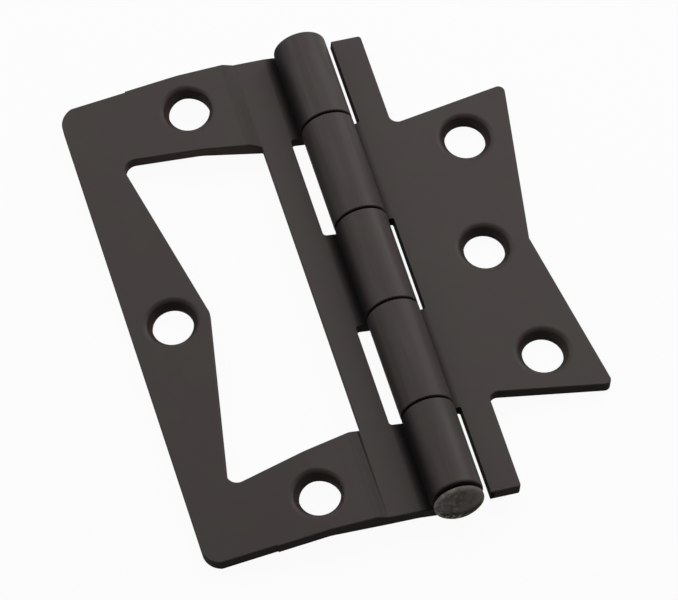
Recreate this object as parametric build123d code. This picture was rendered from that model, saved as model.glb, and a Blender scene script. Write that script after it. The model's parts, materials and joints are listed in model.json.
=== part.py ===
from build123d import *
from math import acos, asin, atan2, cos, degrees, hypot, radians, sin, tan
import os

# Surface mount hinge: two blanked and rolled steel leaves on one fixed pin.
# Y runs along the pin, Z is up, the outer leaf lies at -X and the inner leaf at +X.
# Each leaf is first modelled flat, with the pin axis at its origin, X outward and Z up,
# then tipped about the pin until its far edge rests on the ground beside the barrel.

# stock and barrel
sheet = 1.65
barrel_diameter = 7.4
barrel_length = 76.0
middle_knuckle = 15.0
side_knuckle = 16.15
knuckle_gap = 0.25
seam_gap = 0.12
curl_lip = 0.2
knuckle_rim = 0.15
barrel_end_rim = 0.45

# fixed pin and its head
pin_clearance = 0.05
pin_top_inset = 0.3
pin_point_chamfer = 0.4
pin_head_gap = 0.35
pin_head_diameter = 7.0
pin_head_edge = 0.7
pin_head_dome = 1.35
pin_head_shoulder = 0.6
pin_head_bevel = 0.2

# both leaves
leaf_overhang = 0.1
plate_drop = 0.45
nest_clearance = 0.05
bend_radius = 1.3

# inner leaf: a full-height strip beside the barrel and a butterfly wing outside it
strip_root = 4.75
strip_edge = 9.0
strip_corner = 0.45
slit_corner = 0.3
wing_root_half = 22.7
wing_root_corner = 1.2
wing_tip_reach = 26.1
wing_tip_half = 25.55
wing_tip_corner = 0.9
wing_notch_depth = 4.2

# outer leaf: a frame round the cut-out that takes the wing
frame_rail = 6.0
frame_corner = 2.9
end_step_reach = 25.0
end_step = 0.15
cutout_root_clearance = 0.45
cutout_end_clearance = 1.1
cutout_tip_clearance = 2.7
cutout_tip_rise = 1.7
cutout_notch_clearance = 1.7
cutout_tip_corner = 1.5
cutout_root_corner = 0.2
ramp_reach = 17.6
ramp_radius = 6.0
crease_setback = 0.2
shoulder = 0.95
shoulder_run = 1.45
shoulder_crown = 1.5
shoulder_foot = 0.3
frame_strip_slope = 11.0
window_reach = 5.35
window_corner = 0.45

# screw holes
hole_diameter = 5.7
countersink_diameter = 7.5
countersink_angle = 82.0
frame_hole_reach = 17.45
frame_hole_end_margin = 5.9
frame_middle_hole_margin = 5.9
wing_hole_reach = 18.3
wing_hole_half_spacing = 18.15
wing_middle_hole_reach = 15.55

# edge breaks
face_edge = 0.18
steepest_front = 60.0

tolerance = 0.02
leaf_height = barrel_length + 2 * leaf_overhang
barrel_radius = barrel_diameter / 2
bore_radius = barrel_radius - sheet
neutral_radius = bore_radius + sheet / 2
pin_radius = bore_radius - pin_clearance
first_gap = middle_knuckle / 2 + knuckle_gap / 2
second_gap = first_gap + knuckle_gap + side_knuckle
frame_top = sheet + plate_drop
frame_strip_top = plate_drop - nest_clearance
cutout_root = strip_edge + cutout_root_clearance
crease_reach = cutout_root + crease_setback
wing_notch_reach = wing_tip_reach - wing_notch_depth
cutout_tip = wing_tip_reach + cutout_tip_clearance
frame_reach = cutout_tip + frame_rail


def beside(path, distance):
    """Corners of the line that runs beside a path, at a distance to its left."""
    steps = [(b - a).normalized() for a, b in zip(path, path[1:])]
    sides = [Vector(-step.Y, step.X) for step in steps]
    corners = [path[0] + sides[0] * distance]
    for corner, before, after in zip(path[1:-1], sides, sides[1:]):
        corners.append(corner + (before + after) * (distance / (1 + before.dot(after))))
    return corners + [path[-1] + sides[-1] * distance]


def bend_sides(path):
    """+1 for each corner of a path that turns left and -1 for each that turns right."""
    steps = [b - a for a, b in zip(path, path[1:])]
    return [1 if a.cross(b).Z > 0 else -1 for a, b in zip(steps, steps[1:])]


def curl_start(neutral_point):
    """Angle below X, in degrees, where a straight from this point meets the neutral circle."""
    reach = hypot(neutral_point.X, neutral_point.Y)
    return degrees(atan2(-neutral_point.Y, neutral_point.X) + acos(neutral_radius / reach))


def sheet_section(neutral_path, bend_radii, shouldered_corner=None):
    """Section of the bent sheet, from its far edge in to the start of the curl.

    Before a shouldered corner the front stays up by the shoulder, then slopes down to the strip.
    """
    start = curl_start(neutral_path[-1])
    touch = Vector(neutral_radius * cos(radians(start)), -neutral_radius * sin(radians(start)))
    path = neutral_path + [touch]
    turns = bend_sides(path)
    half = sheet / 2
    front_corners = beside(path, -half)
    front_radii = [r + t * half for r, t in zip(bend_radii, turns)]
    if shouldered_corner is not None:
        crown = front_corners[shouldered_corner] + Vector(shoulder_run, shoulder)
        front_corners.insert(shouldered_corner, crown)
        front_radii[shouldered_corner - 1:shouldered_corner] = [shoulder_crown, shoulder_foot]
    front = FilletPolyline(*front_corners, radius=front_radii)
    back = FilletPolyline(*beside(path, half), radius=[r - t * half for r, t in zip(bend_radii, turns)])
    outline = front + back + Line(front @ 0, back @ 0) + Line(front @ 1, back @ 1)
    return make_face(outline)


def curl_section(neutral_path):
    """Section of the sheet rolled under and over the pin, back to its own leaf."""
    start = curl_start(neutral_path[-1])
    seam = start - degrees(acos((bore_radius - seam_gap) / barrel_radius))
    sweep = 360 - start + seam
    outside = CenterArc((0, 0), barrel_radius, -seam, sweep)
    inside = CenterArc((0, 0), bore_radius, -seam, sweep)
    section = make_face(outside + inside + Line(outside @ 0, inside @ 0) + Line(outside @ 1, inside @ 1))
    lip = section.vertices().sort_by_distance(Vector(*(outside @ 0)))[0]
    return fillet(lip, curl_lip)


def along_barrel(section, low, high):
    """A section drawn in XZ, extruded along the pin from one Y to another."""
    solid = extrude(Plane.XZ * section, amount=high - low)
    return Pos(0, high, 0) * solid


def knuckle(section, low, high):
    """One rolled knuckle: rims at the barrel's ends are rounded, and those between are bevelled."""
    tube = along_barrel(section, low, high)
    for end in (low, high):
        rim = [e for e in tube.edges() if e.geom_type == GeomType.CIRCLE
               and abs(e.radius - barrel_radius) < tolerance and abs(e.center().Y - end) < tolerance]
        if abs(end) < barrel_length / 2 - tolerance:
            tube = chamfer(rim, knuckle_rim)
        else:
            tube = fillet(rim, barrel_end_rim)
    return tube


def countersunk(leaf, top, places):
    """Cuts a countersunk screw hole at each place, from a face at height top."""
    spread = (countersink_diameter - hole_diameter) / 2
    depth = spread / tan(radians(countersink_angle / 2))
    bore = Cylinder(hole_diameter / 2, 4 * sheet)
    mouth = Cone(hole_diameter / 2, hole_diameter / 2 + 2 * spread, 2 * depth)
    for reach, y in places:
        leaf = leaf - Pos(reach, y, top) * bore - Pos(reach, y, top) * mouth
    return leaf


def prism(outline):
    """A flat outline, cut straight through the sheet."""
    return extrude(outline, amount=2 * barrel_diameter, both=True)


def rounded(points, radii):
    """A closed outline with its corners rounded in turn."""
    face = make_face(Polyline(*points, close=True))
    for point, radius in zip(points, radii):
        if radius > 0:
            corner = face.vertices().sort_by_distance(Vector(*point))[0]
            face = fillet(corner, radius)
    return face


def clear_beside(knuckles, reach, corner):
    """Room for the other leaf's knuckles, from beyond the barrel out to a reach."""
    rooms = []
    for low, high in knuckles:
        low_edge = -leaf_height if low < -second_gap else low - knuckle_gap / 2
        high_edge = leaf_height if high > second_gap else high + knuckle_gap / 2
        points = [(-leaf_height, low_edge), (reach, low_edge), (reach, high_edge), (-leaf_height, high_edge)]
        room = make_face(Polyline(*points, close=True))
        inner_corners = [v for v in room.vertices()
                         if v.X > 0 and abs(v.Y) < leaf_height / 2]
        rooms.append(prism(fillet(inner_corners, corner)))
    return rooms


def break_front_edges(leaf, root):
    """Rounds the blanked rim of a leaf's front, outward of the bend at its root."""
    front = [f for f in leaf.faces() if f.normal_at().Z > cos(radians(steepest_front))]
    on_front = [e for f in front for e in f.edges()]
    rim = [e for e in on_front if sum(e.is_same(other) for other in on_front) == 1
           and min((e @ 0).X, (e @ 1).X) > root - tolerance and e.center().X > root]
    return fillet(rim, face_edge)


# Knuckles 1, 3 and 5 belong to the outer leaf, 2 and 4 to the inner leaf.
half_gap = knuckle_gap / 2
outer_knuckles = [
    (-barrel_length / 2, -second_gap - half_gap),
    (-first_gap + half_gap, first_gap - half_gap),
    (second_gap + half_gap, barrel_length / 2),
]
inner_knuckles = [
    (-second_gap + half_gap, -first_gap - half_gap),
    (first_gap + half_gap, second_gap - half_gap),
]


def build_outer_leaf():
    slope = tan(radians(frame_strip_slope))
    half = sheet / 2
    neutral = [
        Vector(frame_reach, frame_top - half),
        Vector(ramp_reach, frame_top - half),
        Vector(crease_reach, frame_strip_top - half),
        Vector(window_reach, frame_strip_top - half - slope * (crease_reach - window_reach)),
    ]
    flat = sheet_section(neutral, [ramp_radius, bend_radius, bend_radius], shouldered_corner=2)
    leaf = along_barrel(flat, -leaf_height / 2, leaf_height / 2)

    half_height = leaf_height / 2
    blank = rounded([(0, -half_height), (frame_reach, -half_height),
                     (frame_reach, half_height), (0, half_height)], [0, frame_corner, frame_corner, 0])
    for side in (1, -1):
        step = Rectangle(frame_reach, 2 * end_step, align=(Align.MIN, Align.CENTER))
        blank -= Pos(end_step_reach, side * half_height) * step
    leaf &= prism(blank)

    tip = (cutout_tip, wing_tip_half + cutout_tip_rise)
    notch = (wing_notch_reach + cutout_notch_clearance, 0)
    root = (cutout_root, wing_root_half + cutout_end_clearance)
    mirrored = [(x, -y) for x, y in (root, tip)]
    cutout = rounded([root, tip, notch, mirrored[1], mirrored[0]],
                     [cutout_root_corner, cutout_tip_corner, 0, cutout_tip_corner, cutout_root_corner])
    leaf -= prism(cutout)
    for room in clear_beside(inner_knuckles, window_reach, window_corner):
        leaf -= room
    leaf = break_front_edges(leaf, window_reach)

    hole_y = half_height - frame_hole_end_margin
    middle_reach = frame_reach - frame_middle_hole_margin
    leaf = countersunk(leaf, frame_top,
                       [(frame_hole_reach, hole_y), (frame_hole_reach, -hole_y), (middle_reach, 0)])
    curl = curl_section(neutral)
    for low, high in outer_knuckles:
        leaf += knuckle(curl, low, high)
    return leaf


def build_inner_leaf():
    half = sheet / 2
    neutral = [
        Vector(wing_tip_reach, -plate_drop - half),
        Vector(strip_root, -plate_drop - half),
    ]
    flat = sheet_section(neutral, [bend_radius])
    leaf = along_barrel(flat, -leaf_height / 2, leaf_height / 2)

    half_height = leaf_height / 2
    upper = [(0, half_height), (strip_edge, half_height), (strip_edge, wing_root_half),
             (wing_tip_reach, wing_tip_half), (wing_notch_reach, 0)]
    upper_radii = [0, strip_corner, wing_root_corner, wing_tip_corner, 0]
    lower = [(x, -y) for x, y in reversed(upper[:-1])]
    blank = rounded(upper + lower, upper_radii + upper_radii[-2::-1])
    leaf &= prism(blank)
    for room in clear_beside(outer_knuckles, strip_root, slit_corner):
        leaf -= room
    leaf = break_front_edges(leaf, strip_root)

    leaf = countersunk(leaf, -plate_drop,
                       [(wing_hole_reach, wing_hole_half_spacing), (wing_hole_reach, -wing_hole_half_spacing),
                        (wing_middle_hole_reach, 0)])
    curl = curl_section(neutral)
    for low, high in inner_knuckles:
        leaf += knuckle(curl, low, high)
    return leaf


def build_hinge_pin():
    """The turned pin, headed at its -Y end and chamfered at the other."""
    head_radius = pin_head_diameter / 2
    seat = -barrel_length / 2 - pin_head_gap
    point = barrel_length / 2 - pin_top_inset
    dome_base = seat - pin_head_edge
    crown = dome_base - pin_head_dome
    dome_radius = (head_radius ** 2 + pin_head_dome ** 2) / (2 * pin_head_dome)
    side = Polyline((0, crown), (0, point), (pin_radius - pin_point_chamfer, point),
                    (pin_radius, point - pin_point_chamfer), (pin_radius, seat),
                    (head_radius, seat), (head_radius, dome_base))
    dome = RadiusArc((head_radius, dome_base), (0, crown), dome_radius)
    section = make_face(side + dome)
    corner = section.vertices().sort_by_distance(Vector(head_radius, dome_base))[0]
    section = fillet(corner, pin_head_shoulder)
    corner = section.vertices().sort_by_distance(Vector(head_radius, seat))[0]
    section = chamfer(corner, pin_head_bevel)
    return revolve(section, Axis.Y)


def resting_tilt(reach, back_height):
    """Degrees that a leaf tips about the pin until its far back edge is level with the barrel's underside."""
    return degrees(asin(barrel_radius / hypot(reach, back_height)) + atan2(back_height, reach))


def build_hinge():
    """The three pieces where they lie when the open hinge rests on a table, front up."""
    outer_flat = build_outer_leaf()
    inner_flat = build_inner_leaf()
    outer_tilt = resting_tilt(outer_flat.bounding_box().max.X, frame_top - sheet)
    inner_tilt = resting_tilt(inner_flat.bounding_box().max.X, -plate_drop - sheet)
    outer = Rot(0, -outer_tilt, 0) * Rot(0, 0, 180) * outer_flat
    inner = Rot(0, inner_tilt, 0) * inner_flat
    pin = build_hinge_pin()

    low_y = pin.bounding_box().min.Y
    middle = Pos(-(outer.bounding_box().min.X + inner.bounding_box().max.X) / 2,
                 -(low_y + leaf_height / 2) / 2, barrel_radius)
    return {"outer_leaf": middle * outer, "inner_leaf": middle * inner, "hinge_pin": middle * pin}


os.makedirs("parts", exist_ok=True)
for name, piece in build_hinge().items():
    export_step(piece, "parts/" + name + ".step")
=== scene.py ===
import bpy
import json
from math import radians, sin, cos
from mathutils import Matrix, Vector

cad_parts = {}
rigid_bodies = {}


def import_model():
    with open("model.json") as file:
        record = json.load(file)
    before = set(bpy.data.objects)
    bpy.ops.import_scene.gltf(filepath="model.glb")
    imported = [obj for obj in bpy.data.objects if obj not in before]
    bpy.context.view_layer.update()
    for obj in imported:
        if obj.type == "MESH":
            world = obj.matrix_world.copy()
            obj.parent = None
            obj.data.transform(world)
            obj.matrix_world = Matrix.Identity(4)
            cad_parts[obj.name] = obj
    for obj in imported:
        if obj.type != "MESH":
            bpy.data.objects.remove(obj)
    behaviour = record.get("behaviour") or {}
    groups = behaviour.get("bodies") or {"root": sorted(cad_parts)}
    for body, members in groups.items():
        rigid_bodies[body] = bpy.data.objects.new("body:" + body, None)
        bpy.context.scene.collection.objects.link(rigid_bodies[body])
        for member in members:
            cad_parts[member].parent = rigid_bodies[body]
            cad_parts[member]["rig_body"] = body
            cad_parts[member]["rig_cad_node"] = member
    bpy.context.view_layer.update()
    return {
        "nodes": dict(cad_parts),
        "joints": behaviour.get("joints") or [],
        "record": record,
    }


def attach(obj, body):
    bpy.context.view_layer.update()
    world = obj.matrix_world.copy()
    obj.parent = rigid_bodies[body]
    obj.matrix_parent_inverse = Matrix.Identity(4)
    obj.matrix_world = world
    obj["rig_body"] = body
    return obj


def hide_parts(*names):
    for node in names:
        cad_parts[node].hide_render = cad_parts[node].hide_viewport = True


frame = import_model()
print("frame loaded:", ", ".join(sorted(frame["nodes"])))

scene = bpy.context.scene
scene.view_settings.view_transform = "Standard"

mmPerMetre = 1000
white = (1, 1, 1, 1)
pinAxis = Vector(frame["joints"][0]["pos_m"])


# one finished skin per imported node: its own mesh, merged and smoothed
# tilt is how many degrees a leaf leans on the floor, turned about the pin
skins = {
    "outer_leaf": {"body": "outer", "name": "outerLeafSkin", "slot": "leaf_finish", "tilt": 6.84},
    "inner_leaf": {"body": "inner", "name": "innerLeafSkin", "slot": "leaf_finish", "tilt": -3.55},
    "hinge_pin": {"body": "outer", "name": "hingePinSkin", "slot": "pin_finish", "tilt": 0},
}
skinSmoothing = {
    "mergeDistance": 0.000002,
    "flatAngle": radians(0.05),
    "sharpAngle": radians(38),
    "normalWeight": 60,
}

# a countersink's cone lies near a screw hole, and its slope lies between these two angles
countersink = {"reach": 0.0044, "shallowest": cos(radians(46)), "steepest": cos(radians(53))}

# plating has rounded the rim between the flat face and the cone
rimRounding = {"width": 0.00042, "steps": 4, "flattest": cos(radians(20))}


def deselectAll():
    bpy.ops.object.select_all(action="DESELECT")


def pickOnly(piece):
    deselectAll()
    piece.select_set(True)
    bpy.context.view_layer.objects.active = piece


# a pattern's two holes lie along Y on either side of its middle; a single bore is listed twice
def findHoles():
    holes = []
    for mount in frame["record"]["mounts"]:
        if mount["kind"] in ("bolt_pattern", "bore"):
            apart = mount["dims"].get("pcd_mm", 0) / 2 / mmPerMetre
            holes += [Vector(mount["pos_m"]) + Vector((0, side * apart, 0)) for side in (-1, 1)]
    return holes


screwHoles = findHoles()


def leafUp(tilt):
    return Vector((-sin(radians(tilt)), 0, cos(radians(tilt))))


def isCountersink(face, up):
    slope = abs(face.normal.dot(up))
    if not countersink["steepest"] < slope < countersink["shallowest"]:
        return False
    return min((face.center - hole).length for hole in screwHoles) < countersink["reach"]


def sideOfRim(face, up):
    if isCountersink(face, up):
        return "cone"
    return "flat" if face.normal.dot(up) > rimRounding["flattest"] else "other"


def roundCountersinks(piece, tilt):
    up = leafUp(tilt)
    sidesOf = {}
    for face in piece.data.polygons:
        for key in face.edge_keys:
            sidesOf.setdefault(key, []).append(sideOfRim(face, up))
    bpy.ops.object.mode_set(mode="EDIT")
    bpy.ops.mesh.select_mode(type="EDGE")
    bpy.ops.mesh.select_all(action="DESELECT")
    bpy.ops.object.mode_set(mode="OBJECT")
    for edge in piece.data.edges:
        edge.select = sorted(sidesOf[edge.key]) == ["cone", "flat"]
    bpy.ops.object.mode_set(mode="EDIT")
    bpy.ops.mesh.bevel(offset=rimRounding["width"], segments=rimRounding["steps"], affect="EDGES")
    bpy.ops.object.mode_set(mode="OBJECT")


def makeSkin(nodeName, skin):
    node = frame["nodes"][nodeName]
    piece = node.copy()
    piece.data = node.data.copy()
    piece.name = skin["name"]
    piece.parent = None
    # the copy drops the marks that belong to the frame's own node
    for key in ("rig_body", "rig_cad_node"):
        if key in piece:
            del piece[key]
    scene.collection.objects.link(piece)
    pickOnly(piece)
    bpy.ops.object.mode_set(mode="EDIT")
    bpy.ops.mesh.select_all(action="SELECT")
    bpy.ops.mesh.remove_doubles(threshold=skinSmoothing["mergeDistance"])
    bpy.ops.mesh.customdata_custom_splitnormals_clear()
    bpy.ops.mesh.dissolve_limited(angle_limit=skinSmoothing["flatAngle"])
    bpy.ops.object.mode_set(mode="OBJECT")
    if nodeName != "hinge_pin":
        roundCountersinks(piece, skin["tilt"])
    bpy.ops.object.shade_smooth_by_angle(angle=skinSmoothing["sharpAngle"])
    weighted = piece.modifiers.new("evenNormals", "WEIGHTED_NORMAL")
    weighted.mode = "FACE_AREA_WITH_ANGLE"
    weighted.weight = skinSmoothing["normalWeight"]
    weighted.keep_sharp = True
    bpy.ops.object.modifier_apply(modifier=weighted.name)
    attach(piece, skin["body"])
    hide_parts(nodeName)
    return piece


pieces = {name: makeSkin(name, skin) for name, skin in skins.items()}
print("skins made:", ", ".join(piece.name for piece in pieces.values()))


def nodeTree(owner):
    owner.use_nodes = True
    tree = owner.node_tree
    tree.nodes.clear()
    return tree, tree.nodes, tree.links


def remap(tree, value, fromMin, fromMax, toMin=0, toMax=1):
    node = tree.nodes.new("ShaderNodeMapRange")
    limits = {"From Min": fromMin, "From Max": fromMax, "To Min": toMin, "To Max": toMax}
    for name, limit in limits.items():
        node.inputs[name].default_value = limit
    tree.links.new(value, node.inputs["Value"])
    return node.outputs["Result"]


def combine(tree, operation, first, second):
    node = tree.nodes.new("ShaderNodeMath")
    node.operation = operation
    tree.links.new(first, node.inputs[0])
    tree.links.new(second, node.inputs[1])
    return node.outputs[0]


def noise(tree, coords, scale, detail):
    node = tree.nodes.new("ShaderNodeTexNoise")
    node.inputs["Scale"].default_value = scale
    node.inputs["Detail"].default_value = detail
    tree.links.new(coords, node.inputs["Vector"])
    return node.outputs["Fac"]


def blend(tree, factor, first, second):
    node = tree.nodes.new("ShaderNodeMix")
    node.data_type = "RGBA"
    tree.links.new(factor, node.inputs["Factor"])
    for name, color in (("A", first), ("B", second)):
        if isinstance(color, bpy.types.NodeSocket):
            tree.links.new(color, node.inputs[name])
        else:
            node.inputs[name].default_value = color
    return node.outputs["Result"]


def grey(level):
    return (level, level, level, 1)


# stops are pairs of a place in millimetres and how much is covered there, from 0 to 1
def ramp(tree, value, stops, zero):
    start, end = stops[0][0], stops[-1][0]
    place = remap(tree, value, zero + start / mmPerMetre, zero + end / mmPerMetre)
    node = tree.nodes.new("ShaderNodeValToRGB")
    tree.links.new(place, node.inputs["Fac"])
    marks = node.color_ramp.elements
    marks.remove(marks[1])
    marks[0].color = grey(stops[0][1])
    for where, cover in stops[1:]:
        marks.new((where - start) / (end - start)).color = grey(cover)
    return node.outputs["Color"]


# a patch is what its ramps along X, Y and Z share; X counts from the pin's axis, Z from the floor
def patchCover(tree, coords, patches):
    split = tree.nodes.new("ShaderNodeSeparateXYZ")
    tree.links.new(coords, split.inputs[0])
    cover = None
    for patch in patches.values():
        shared = None
        for axis, stops in patch.items():
            part = ramp(tree, split.outputs[axis], stops, pinAxis.x if axis == "X" else 0)
            shared = part if shared is None else combine(tree, "MULTIPLY", shared, part)
        cover = shared if cover is None else combine(tree, "MAXIMUM", cover, shared)
    return cover


# satin, almost black bronze plating on the leaves' faces and the rolled barrel
# scales count the pattern's repeats in a metre, and patch values hold where a patch covers
leafFinish = {
    "color": (0.0425, 0.0316, 0.0294, 1),
    "paleColor": (0.0505, 0.0388, 0.0366, 1),
    "stainColor": (0.0445, 0.0375, 0.0305, 1),
    # the patch colour is painted shade, laid where a patch covers
    "patchColor": (0.0022, 0.0017, 0.0014, 1),
    "streakColor": (0.0620, 0.0500, 0.0465, 1),
    "roughness": 0.5,
    "roughnessSpread": 0.05,
    "patchRoughness": 0.35,
    "gloss": 0.26,
    "cloudScale": 60,
    "stainScale": 210,
    "streakScale": (900, 55, 900),    # drawn out along the barrel
    "grainScale": 5200,
    "grainHeight": 0.000006,
}

# the same plating on sheared rims and hole walls, rougher and duller there, with its colour
# darkened as painted shade
rimFinish = {
    "color": (0.0215, 0.0170, 0.0152, 1),
    "paleColor": (0.0320, 0.0260, 0.0238, 1),
    "stainColor": (0.0255, 0.0215, 0.0175, 1),
    # the patch colour is painted shade, laid where a patch covers
    "patchColor": (0.0012, 0.0010, 0.0008, 1),
    "roughness": 0.75,
    "roughnessSpread": 0.05,
    "patchRoughness": 0.2,
    "gloss": 0.06,
    "cloudScale": 300,
    "stainScale": 500,
    "grainScale": 2600,
    "grainHeight": 0.00002,
}

# the outer leaf's rims take painted light in their patch, where the inner leaf's take painted
# shade
outerRimFinish = {
    **rimFinish,
    "patchColor": (0.0800, 0.0600, 0.0540, 1),
    "patchRoughness": 0,
}

# the countersinks are cut into the sheet and plated, but take no shine
countersinkFinish = {
    **leafFinish,
    "color": (0.0320, 0.0236, 0.0218, 1),
    "paleColor": (0.0385, 0.0292, 0.0272, 1),
    "roughness": 0.75,
    "gloss": 0.06,
}

# the pin's head: grey plating, with painted shade in olive-brown over its lower half, and pale
# worn flecks
pinFinish = {
    "color": (0.1430, 0.1240, 0.1190, 1),
    "paleColor": (0.2000, 0.1780, 0.1700, 1),
    "stainColor": (0.1250, 0.1110, 0.0920, 1),
    # the patch colour is painted shade over the head's lower half
    "patchColor": (0.0290, 0.0260, 0.0095, 1),
    "fleckColor": (0.7500, 0.7100, 0.6000, 1),
    "roughness": 0.6,
    "roughnessSpread": 0.08,
    "patchRoughness": 0.15,
    "gloss": 0.04,
    "cloudScale": 420,
    "stainScale": 700,
    "fleckScale": 1900,
    "grainScale": 3800,
    "grainHeight": 0.00002,
}

# how fine each noise is, and between which of its levels a stain, streak or fleck fades in
platingNoise = {
    "cloudDetail": 4,
    "stainDetail": 2,
    "stainLevels": (0.45, 0.7),
    "streakDetail": 3,
    "streakLevels": (0.46, 0.72),
    "fleckDetail": 3,
    "fleckLevels": (0.50, 0.62),
    "grainDetail": 3,
    "grainStrength": 0.6,
}

# where shade and light are painted into the plating, and where the barrel is streaked and the
# pin's head flecked, in millimetres
onTop = ((1.9, 0), (2.2, 1))
outerFacePaintedShade = {
    # painted shade in the valley beside the barrel
    "valleyByBarrel": {
        "X": ((-5.4, 0), (-5.0, 0.15), (-4.6, 0.52), (-4.25, 0.8),
              (-4.0, 0.96), (-3.5, 0.92), (-3.1, 0.55), (-2.6, 0)),
        "Z": onTop,
    },
    # painted shade: a dark line along the bend's crease, strongest near the cut-out
    "bendLine": {
        "X": ((-9.98, 0), (-9.80, 0.9), (-9.66, 0.9), (-9.45, 0)),
        "Y": ((-37.6, 0.15), (-30.0, 0.6), (-22.9, 1), (-22.6, 0)),
        "Z": onTop,
    },
    # painted shade dimming the highlight on the bend's shoulder
    "bendShoulder": {"X": ((-11.6, 0), (-11.1, 0.22), (-10.1, 0.22), (-9.9, 0)), "Z": onTop},
    # painted shade dimming the highlight on the bend's crest towards the far end
    "farBendCrest": {
        "X": ((-10.4, 0), (-10.1, 0.17), (-9.6, 0.17), (-9.1, 0)),
        "Y": ((20, 0), (24, 1)),
        "Z": onTop,
    },
}
# painted shade on the barrel's left underside, carried by the inner leaf's knuckles
innerFacePaintedShade = {
    "underBarrelSide": {"X": ((-3.75, 0.35), (-3.3, 0.3), (-2.9, 0)), "Z": onTop},
}
rolledTop = {
    "barrel": {"X": ((-3.7, 1), (3.6, 1), (3.9, 0)), "Z": ((3.8, 0), (4.4, 1))},
}
outerRimPaintedLight = {
    # painted light lifting the cut-out's far wall
    "cutoutFarWall": {
        "X": ((-29, 0), (-28, 1), (-9.6, 1), (-9.2, 0)),
        "Y": ((22.5, 0), (24.5, 1), (29, 1), (30, 0)),
    },
}
innerRimPaintedShade = {
    # painted shade on the inner leaf's slot walls beside the barrel
    "slotWalls": {"X": ((3.6, 0), (4.2, 0.95), (5.0, 0.95), (5.4, 0))},
}
pinPaintedShade = {
    # painted shade: the head's lower half darkened olive-brown, clear of its left edge
    "shadedLowerHead": {
        "X": ((-3.1, 0), (-2.3, 1), (3.4, 1)),
        "Y": ((-38.5, 1), (-37.9, 0)),
        "Z": ((3.3, 1), (4.4, 0)),
    },
}
pinFlecks = {
    "lowerLeft": {
        "X": ((-3.2, 1), (-0.6, 1), (0.8, 0.15)),
        "Z": ((0.8, 0.3), (2.2, 1), (3.4, 0.15)),
    },
}


def fadeIn(tree, coords, scale, kind):
    pattern = noise(tree, coords, scale, platingNoise[kind + "Detail"])
    return remap(tree, pattern, *platingNoise[kind + "Levels"])


def streakCover(tree, coords, finish, streaks):
    stretch = tree.nodes.new("ShaderNodeMapping")
    stretch.inputs["Scale"].default_value = finish["streakScale"]
    tree.links.new(coords, stretch.inputs["Vector"])
    drawn = fadeIn(tree, stretch.outputs[0], 1, "streak")
    return combine(tree, "MULTIPLY", drawn, patchCover(tree, coords, streaks))


def fleckCover(tree, coords, finish, flecks):
    chips = fadeIn(tree, coords, finish["fleckScale"], "fleck")
    return combine(tree, "MULTIPLY", chips, patchCover(tree, coords, flecks))


def makePlating(name, finish, patches=None, flecks=None, streaks=None):
    plating = bpy.data.materials.new(name)
    tree, nodes, links = nodeTree(plating)
    out = nodes.new("ShaderNodeOutputMaterial")
    shader = nodes.new("ShaderNodeBsdfPrincipled")
    coords = nodes.new("ShaderNodeTexCoord").outputs["Object"]
    cloud = noise(tree, coords, finish["cloudScale"], platingNoise["cloudDetail"])
    stain = fadeIn(tree, coords, finish["stainScale"], "stain")
    tint = blend(tree, cloud, finish["color"], finish["paleColor"])
    tint = blend(tree, stain, tint, finish["stainColor"])
    spread = finish["roughnessSpread"]
    rough = remap(tree, cloud, 0, 1, finish["roughness"] - spread, finish["roughness"] + spread)
    if streaks:
        tint = blend(tree, streakCover(tree, coords, finish, streaks), tint, finish["streakColor"])
    if patches:
        cover = patchCover(tree, coords, patches)
        tint = blend(tree, cover, tint, finish["patchColor"])
        rough = combine(tree, "ADD", rough, remap(tree, cover, 0, 1, 0, finish["patchRoughness"]))
    if flecks:
        tint = blend(tree, fleckCover(tree, coords, finish, flecks), tint, finish["fleckColor"])
    grain = noise(tree, coords, finish["grainScale"], platingNoise["grainDetail"])
    bump = nodes.new("ShaderNodeBump")
    bump.inputs["Distance"].default_value = finish["grainHeight"]
    bump.inputs["Strength"].default_value = platingNoise["grainStrength"]
    links.new(grain, bump.inputs["Height"])
    links.new(bump.outputs["Normal"], shader.inputs["Normal"])
    links.new(tint, shader.inputs["Base Color"])
    links.new(rough, shader.inputs["Roughness"])
    shader.inputs["Specular IOR Level"].default_value = finish["gloss"]
    links.new(shader.outputs["BSDF"], out.inputs["Surface"])
    return plating


platings = {
    "outer_leaf": {
        "face": makePlating("outerLeafPlating", leafFinish, outerFacePaintedShade, streaks=rolledTop),
        "rim": makePlating("outerRimPlating", outerRimFinish, outerRimPaintedLight),
        "countersink": makePlating("outerCountersinkPlating", countersinkFinish),
    },
    "inner_leaf": {
        "face": makePlating("innerLeafPlating", leafFinish, innerFacePaintedShade, streaks=rolledTop),
        "rim": makePlating("innerRimPlating", rimFinish, innerRimPaintedShade),
        "countersink": makePlating("innerCountersinkPlating", countersinkFinish),
    },
    "hinge_pin": {
        "face": makePlating("wornAndShadedPinPlating", pinFinish, pinPaintedShade, pinFlecks),
    },
}

# a leaf's sheared faces: the steep ones clear of the barrel, and the knuckles' ends
shear = {"steepest": cos(radians(62)), "barrelReach": 0.0039, "knuckleEnd": 0.7}


def kindOfFace(face, up):
    fromPin = face.center - pinAxis
    fromPin.y = 0
    if fromPin.length > shear["barrelReach"]:
        sheared = abs(face.normal.dot(up)) < shear["steepest"]
    else:
        sheared = abs(face.normal.y) > shear["knuckleEnd"]
    if sheared:
        return "rim"
    return "countersink" if isCountersink(face, up) else "face"


def platePiece(piece, finishes, tilt):
    piece.data.materials.clear()
    for plating in finishes.values():
        piece.data.materials.append(plating)
    kinds = list(finishes)
    if len(kinds) > 1:
        up = leafUp(tilt)
        for face in piece.data.polygons:
            face.material_index = kinds.index(kindOfFace(face, up))


for name, piece in pieces.items():
    platePiece(piece, platings[name], skins[name]["tilt"])
print("finishes applied")


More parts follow.
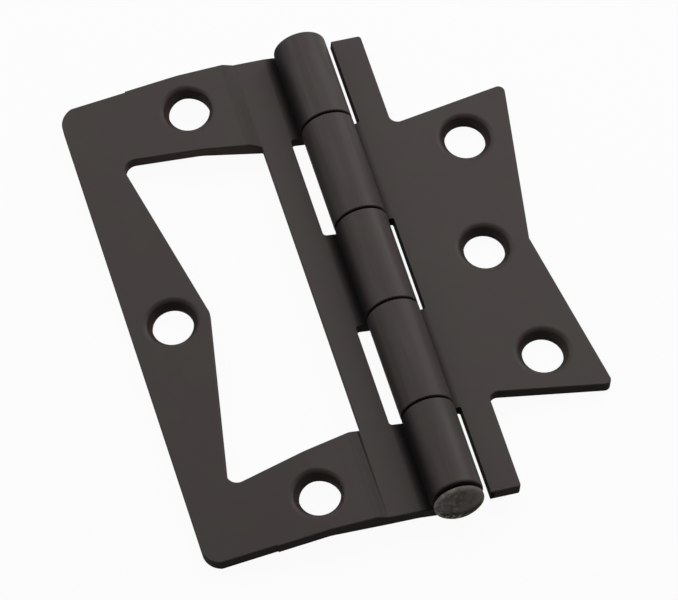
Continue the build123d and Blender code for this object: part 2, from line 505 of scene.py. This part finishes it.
# the camera stands at the photograph's angle, worked out for a 678 x 600 frame
shot = {
    "elevation": 57.45,
    "azimuth": 16.935,        # degrees round to -X from looking along +Y
    "roll": 0.67,
    "distance": 1.0,
    "frameWidth": 678,
    "frameHeight": 600,
    "sensorWidth": 36,
    "pixelsPerMm": 7.342,
    "pinMiddlePixel": (376.53, 267.65),
}


def makeCamera():
    e, a, roll = (radians(shot[k]) for k in ("elevation", "azimuth", "roll"))
    back = Vector((-sin(a) * cos(e), -cos(a) * cos(e), sin(e)))
    right = Vector((cos(a), -sin(a), 0))
    up = back.cross(right)
    right, up = cos(roll) * right + sin(roll) * up, -sin(roll) * right + cos(roll) * up
    scale = shot["pixelsPerMm"] * mmPerMetre
    across = (shot["pinMiddlePixel"][0] - shot["frameWidth"] / 2) / scale
    down = (shot["pinMiddlePixel"][1] - shot["frameHeight"] / 2) / scale
    place = pinAxis + back * shot["distance"] - right * across + up * down
    data = bpy.data.cameras.new("shotCamera")
    data.sensor_fit = "HORIZONTAL"
    data.sensor_width = shot["sensorWidth"]
    data.lens = scale * shot["distance"] / shot["frameWidth"] * shot["sensorWidth"]
    camera = bpy.data.objects.new("shotCamera", data)
    turn = Matrix((right, up, back)).transposed()
    camera.matrix_world = Matrix.Translation(place) @ turn.to_4x4()
    scene.collection.objects.link(camera)
    scene.camera = camera


makeCamera()
print("camera placed")


# plain studio: pale floor, a broad softbox above and behind, and weaker ones left and right
studio = {
    "floorSize": 6.0,
    "floorColor": (0.62, 0.62, 0.62, 1),
    "floorGlow": 0.95,
    "worldStrength": 0.12,
}
lamps = {
    "keySoftbox": {"size": (0.9, 0.3), "power": 1.43, "place": (0.08, 0.20, 0.30)},
    "leftSoftbox": {"size": (0.3, 0.3), "power": 0.7, "place": (-0.45, 0.35, 0.38)},
    "rightSoftbox": {"size": (0.2, 0.2), "power": 0.37, "place": (0.30, 0.22, 0.20)},
}


# the camera sees the floor glow almost white, with a trace of the hinge's shadow
def makeFloorPaint():
    floorPaint = bpy.data.materials.new("paleFloor")
    tree, nodes, links = nodeTree(floorPaint)
    out = nodes.new("ShaderNodeOutputMaterial")
    matt = nodes.new("ShaderNodeBsdfDiffuse")
    matt.inputs["Color"].default_value = studio["floorColor"]
    glow = nodes.new("ShaderNodeEmission")
    glow.inputs["Color"].default_value = white
    path = nodes.new("ShaderNodeLightPath").outputs
    seen = combine(tree, "MAXIMUM", path["Is Camera Ray"], path["Is Glossy Ray"])
    seen = combine(tree, "MAXIMUM", seen, path["Is Transmission Ray"])
    share = nodes.new("ShaderNodeMath")
    share.operation = "MULTIPLY"
    share.inputs[1].default_value = studio["floorGlow"]
    links.new(seen, share.inputs[0])
    mix = nodes.new("ShaderNodeMixShader")
    links.new(share.outputs[0], mix.inputs[0])
    links.new(matt.outputs[0], mix.inputs[1])
    links.new(glow.outputs[0], mix.inputs[2])
    links.new(mix.outputs[0], out.inputs["Surface"])
    return floorPaint


def makeFloor():
    deselectAll()
    bpy.ops.mesh.primitive_plane_add(size=studio["floorSize"], location=(0, 0, 0))
    floor = bpy.context.object
    floor.name = "studioFloor"
    floor.data.materials.append(makeFloorPaint())


def makeWorld():
    world = bpy.data.worlds.new("studioWorld")
    scene.world = world
    tree, nodes, links = nodeTree(world)
    out = nodes.new("ShaderNodeOutputWorld")
    sky = nodes.new("ShaderNodeBackground")
    sky.inputs["Color"].default_value = white
    sky.inputs["Strength"].default_value = studio["worldStrength"]
    links.new(sky.outputs[0], out.inputs["Surface"])


# a softbox is turned to face the hinge
def makeSoftbox(name, lamp):
    data = bpy.data.lights.new(name, "AREA")
    data.shape = "RECTANGLE"
    data.size, data.size_y = lamp["size"]
    data.energy = lamp["power"]
    softbox = bpy.data.objects.new(name, data)
    softbox.location = lamp["place"]
    softbox.rotation_euler = Vector(lamp["place"]).to_track_quat("Z", "Y").to_euler()
    scene.collection.objects.link(softbox)


makeFloor()
makeWorld()
for name, lamp in lamps.items():
    makeSoftbox(name, lamp)
print("studio lit")
